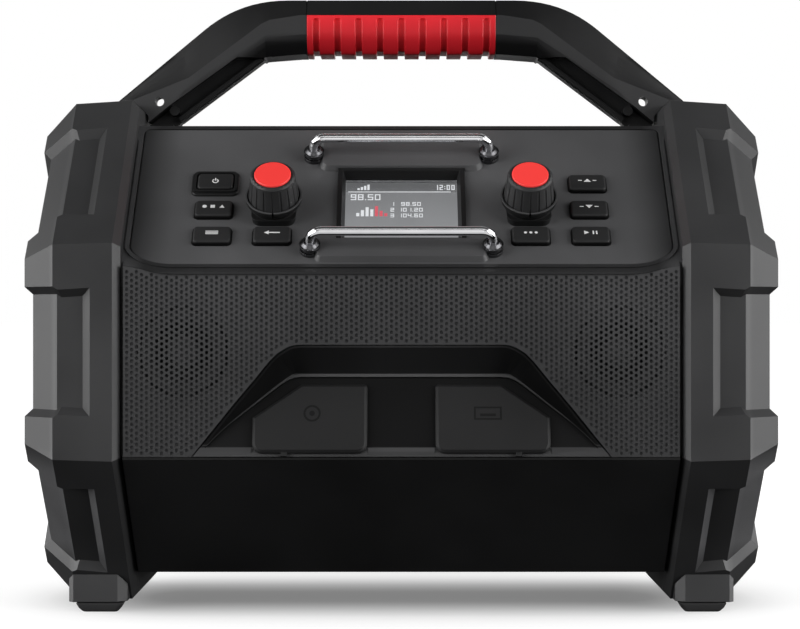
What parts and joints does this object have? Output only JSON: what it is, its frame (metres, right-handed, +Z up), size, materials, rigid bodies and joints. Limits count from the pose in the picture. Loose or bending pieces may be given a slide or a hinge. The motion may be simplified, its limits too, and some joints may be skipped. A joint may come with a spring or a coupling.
{
  "type": "jobsite radio",
  "caption": "Portable jobsite radio with eight-sided bumpers, carrying handle, slanted control panel, perforated front and covered sockets",
  "frame": {"origin": "middle of the footprint, on the surface the radio stands on", "axes": "+Z up, the control panel and grille face -Y, +X to the right of someone facing the radio"},
  "size_m": [0.38, 0.2505, 0.3292],
  "materials": {
    "black_abs": "fine moulded grain",
    "bumper": "moulded, fine grain",
    "cheek": "moulded",
    "feet": "soft",
    "handle_black": "moulded, fine grain",
    "grip_red": "soft touch",
    "steel": "zinc plated",
    "panel_black": "satin",
    "chrome": "polished",
    "collar_rubber": "satin",
    "knob_black": "satin",
    "cap_red": "satin",
    "key_black": "satin",
    "cover_rubber": "soft",
    "grille_black": "powder coated, perforated",
    "screen_glass": "clear",
    "screen": "lit display",
    "socket_black": "moulded",
    "circuit_green": "lacquered board",
    "cooler": "extruded",
    "iron": "stamped",
    "cone": "coated paper",
    "door": "fine moulded grain",
    "cell": "sleeved cell"
  },
  "bodies": {
    "cabinet": {"aux_socket": "socket_black", "battery_box": "door", "battery_cells": "cell", "bumper_bolts": "steel", "button_board": "circuit_green", "control_panel": "panel_black", "display_bezel": "panel_black", "display_lens": "screen_glass", "display_module": "screen", "encoders": "socket_black", "foot_blocks": "bumper", "foot_pads": "feet", "front_housing": "black_abs", "guard_bar_collars": "collar_rubber", "handle_bolts": "steel", "handle_frame": "handle_black", "handle_grip": "grip_red", "heat_sink": "cooler", "housing_screws": "steel", "knob_collars": "panel_black", "left_bumper": "bumper", "left_side_panel": "cheek", "lower_guard_bar": "chrome", "main_board": "circuit_green", "port_bay": "panel_black", "power_button_bezel": "panel_black", "power_inlet": "socket_black", "rear_housing": "black_abs", "right_bumper": "bumper", "right_side_panel": "cheek", "speaker_cones": "cone", "speaker_frames": "iron", "speaker_grille": "grille_black", "transformer": "iron", "upper_guard_bar": "chrome", "usb_socket": "socket_black", "woofer_cone": "cone", "woofer_frame": "iron"},
    "power_button": {"power_button": "key_black"},
    "source_button": {"source_button": "key_black"},
    "menu_button": {"menu_button": "key_black"},
    "back_button": {"back_button": "key_black"},
    "preset_up_button": {"preset_up_button": "key_black"},
    "preset_down_button": {"preset_down_button": "key_black"},
    "play_button": {"play_button": "key_black"},
    "info_button": {"info_button": "key_black"},
    "left_shaft": {"left_encoder_shaft": "steel"},
    "right_shaft": {"right_encoder_shaft": "steel"},
    "left_knob_body": {"left_knob": "knob_black", "left_knob_cap": "cap_red"},
    "right_knob_body": {"right_knob": "knob_black", "right_knob_cap": "cap_red"},
    "aux_flap": {"aux_cover": "cover_rubber"},
    "usb_flap": {"usb_cover": "cover_rubber"},
    "battery_lid": {"battery_door": "door"},
    "antenna_turret": {"antenna_base": "socket_black"},
    "antenna_rod": {"antenna_mast": "chrome"},
    "antenna_end": {"antenna_tip": "chrome"}
  },
  "joints": [
    {"name": "power_press", "type": "slide", "parent": "cabinet", "child": "power_button", "axis": [0, 0.7071, -0.7071], "range_m": [0, 0.001], "stiffness_N_per_m": 1500},
    {"name": "source_press", "type": "slide", "parent": "cabinet", "child": "source_button", "axis": [0, 0.7071, -0.7071], "range_m": [0, 0.001], "stiffness_N_per_m": 1500},
    {"name": "menu_press", "type": "slide", "parent": "cabinet", "child": "menu_button", "axis": [0, 0.7071, -0.7071], "range_m": [0, 0.001], "stiffness_N_per_m": 1500},
    {"name": "back_press", "type": "slide", "parent": "cabinet", "child": "back_button", "axis": [0, 0.7071, -0.7071], "range_m": [0, 0.001], "stiffness_N_per_m": 1500},
    {"name": "preset_up_press", "type": "slide", "parent": "cabinet", "child": "preset_up_button", "axis": [0, 0.7071, -0.7071], "range_m": [0, 0.001], "stiffness_N_per_m": 1500},
    {"name": "preset_down_press", "type": "slide", "parent": "cabinet", "child": "preset_down_button", "axis": [0, 0.7071, -0.7071], "range_m": [0, 0.001], "stiffness_N_per_m": 1500},
    {"name": "play_press", "type": "slide", "parent": "cabinet", "child": "play_button", "axis": [0, 0.7071, -0.7071], "range_m": [0, 0.001], "stiffness_N_per_m": 1500},
    {"name": "info_press", "type": "slide", "parent": "cabinet", "child": "info_button", "axis": [0, 0.7071, -0.7071], "range_m": [0, 0.001], "stiffness_N_per_m": 1500},
    {"name": "left_knob_push", "type": "slide", "parent": "cabinet", "child": "left_shaft", "axis": [0, 0.7071, -0.7071], "range_m": [0, 0.0008], "stiffness_N_per_m": 4000},
    {"name": "left_knob_turn", "type": "hinge", "parent": "left_shaft", "child": "left_knob_body", "pos_m": [-0.0648, -0.09898, 0.21716], "axis": [0, -0.7071, 0.7071], "continuous": true},
    {"name": "right_knob_push", "type": "slide", "parent": "cabinet", "child": "right_shaft", "axis": [0, 0.7071, -0.7071], "range_m": [0, 0.0008], "stiffness_N_per_m": 4000},
    {"name": "right_knob_turn", "type": "hinge", "parent": "right_shaft", "child": "right_knob_body", "pos_m": [0.0648, -0.09898, 0.21716], "axis": [0, -0.7071, 0.7071], "continuous": true},
    {"name": "aux_cover_hinge", "type": "hinge", "parent": "cabinet", "child": "aux_flap", "pos_m": [-0.033, -0.11179, 0.12173], "axis": [-1, 0, 0], "range_deg": [0, 95]},
    {"name": "usb_cover_hinge", "type": "hinge", "parent": "cabinet", "child": "usb_flap", "pos_m": [0.033, -0.11179, 0.12173], "axis": [-1, 0, 0], "range_deg": [0, 95]},
    {"name": "battery_door_hinge", "type": "hinge", "parent": "cabinet", "child": "battery_lid", "pos_m": [-0.107, 0.1146, 0.132], "axis": [0, 0, 1], "range_deg": [0, 110]},
    {"name": "antenna_swivel", "type": "hinge", "parent": "cabinet", "child": "antenna_turret", "pos_m": [0.112, 0.1175, 0.09], "axis": [0, 0, 1], "range_deg": [-60, 60]},
    {"name": "antenna_tilt", "type": "hinge", "parent": "antenna_turret", "child": "antenna_rod", "pos_m": [0.112, 0.1175, 0.095], "axis": [-1, 0, 0], "range_deg": [0, 90]},
    {"name": "antenna_extend", "type": "slide", "parent": "antenna_rod", "child": "antenna_end", "axis": [0, 0, 1], "range_m": [0, 0.08]}
  ]
}
